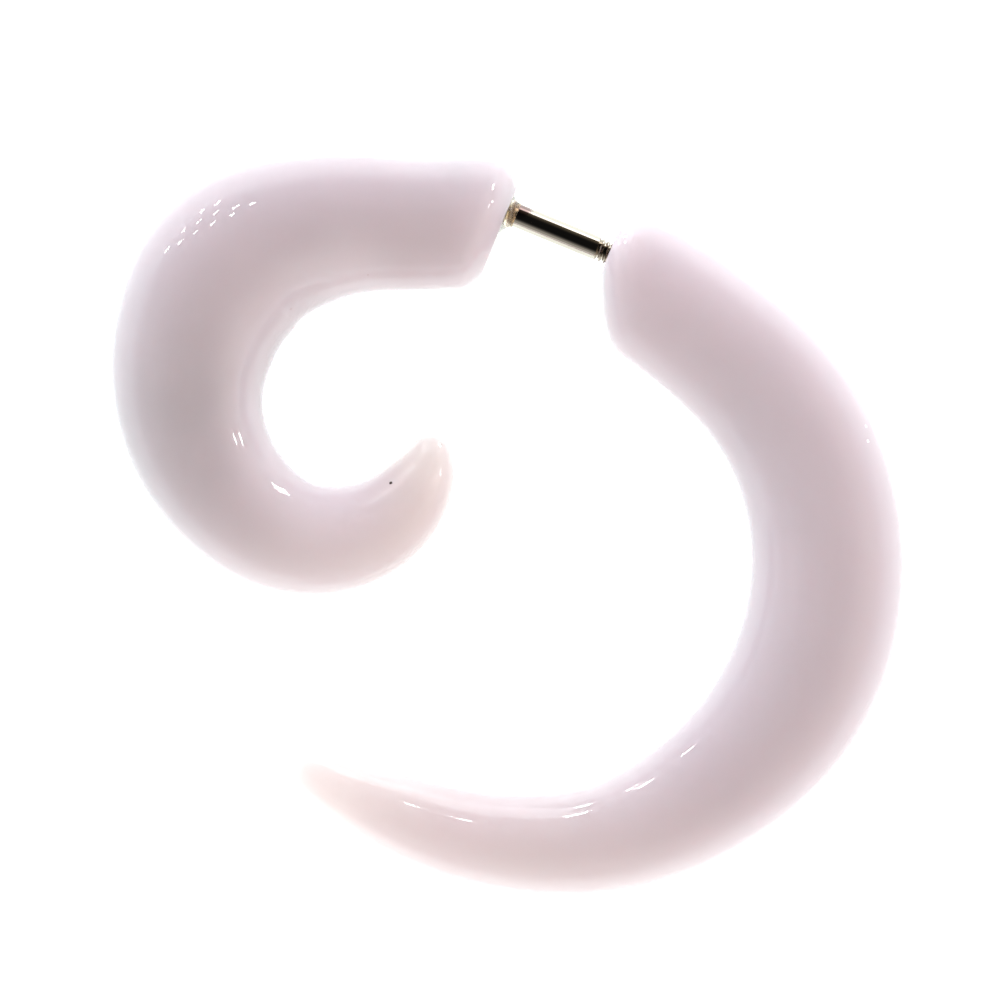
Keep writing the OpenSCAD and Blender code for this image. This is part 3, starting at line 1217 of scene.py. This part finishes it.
def hang(name, centre, along, wide, spot, only):
    """A thin lamp, as long as its vector and so wide, that looks at a spot and shows only in polish."""
    data = bpy.data.lights.new(name, "AREA")
    data.shape = "RECTANGLE"
    data.size, data.size_y = along.length * MM, wide * MM
    data.energy = SPARKLE * math.pi * data.size * data.size_y
    made = bpy.data.objects.new(name, data)
    back = (centre - spot).normalized()
    across = back.cross(along).normalized()
    made.matrix_world = placed(across.cross(back), across, back, centre * MM)
    made.visible_camera = False
    made.visible_diffuse = False
    made.light_linking.receiver_collection = only
    bpy.context.scene.collection.objects.link(made)


def mirrored_at(horn, x, y):
    """Where in the room the camera sees at a pixel of a polished horn, in mm."""
    spot, normal, aim = seen_at(horn, x, y)
    return spot / MM + aim.reflect(normal) * ROOM_FAR


def hang_line(name, horn, only, start, end, wide):
    """A tube that shows between two pixels of a horn, so many pixels wide. Says if it hangs."""
    start, end = Vector(start), Vector(end)
    middle = (start + end) / 2
    side = (end - start).orthogonal().normalized() * wide / 2
    first, last, left, right = (
        mirrored_at(horn, *at) for at in (start, end, middle - side, middle + side))
    centre = (first + last) / 2
    if centre.z < ground_z:
        return False
    hang(name, centre, last - first, (right - left).length, seen_at(horn, *middle)[0] / MM, only)
    return True


print("the panel hangs near, mm:", [round(v) for v in mirrored_at(spiral, *PANEL_PX)])

# %% [markdown]
# Where the lines show
#
# A line is noted by the two pixels that it runs between, and by its width in pixels. The panel is a
# grid, so a column of it is given by its top and its bottom dash, and the third lies between them.

# %% Hang the panel and the tubes
Line = namedtuple("Line", "start end wide")
PANEL_COLUMNS = [
    ((218, 203), (213, 223)),
    ((202, 211), (196, 232)),
    ((187, 219), (180, 242)),
    ((173, 229), (167, 250)),
    ((161, 239), (156, 257)),
]
PANEL_ROWS = 3
HALF_DASH = Vector((2.2, -2.2))
SPIRAL_LINES = [
    Line((233, 434), (237, 444), 1),
    Line((239, 433), (243, 445), 1),
    Line((274, 486), (288, 493), 2.5),
    Line((250, 205), (255, 202), 1.2),
    Line((232, 209), (239, 205), 1.2),
    Line((230, 216), (235, 213), 1.2),
]
CRESCENT_LINES = [
    Line((456, 818), (470, 821), 1),
    Line((565, 817), (589, 811), 1.2),
    Line((575, 808), (597, 801), 1.2),
    Line((624, 786), (634, 782), 1),
    Line((627, 790), (634, 787), 1),
    Line((639, 787), (648, 783), 1.2),
    Line((657, 764), (665, 759), 1),
    Line((668, 760), (678, 751), 1.2),
    Line((681, 756), (693, 747), 1.2),
    Line((688, 740), (698, 730), 1.2),
    Line((705, 727), (711, 722), 1.2),
]
for top, bottom in PANEL_COLUMNS:
    for row in range(PANEL_ROWS):
        middle = Vector(top).lerp(Vector(bottom), row / (PANEL_ROWS - 1))
        SPIRAL_LINES.append(Line(middle - HALF_DASH, middle + HALF_DASH, 1))
for horn, only, lines in (
        (spiral, on_spiral, SPIRAL_LINES), (crescent, on_crescent, CRESCENT_LINES)):
    hung = [hang_line(f"{horn.name}_line_{k}", horn, only, *line) for k, line in enumerate(lines)]
    print(horn.name, "lines:", len(lines), "hung:", sum(hung))
print("lamps:", sum(o.type == "LIGHT" for o in bpy.data.objects))
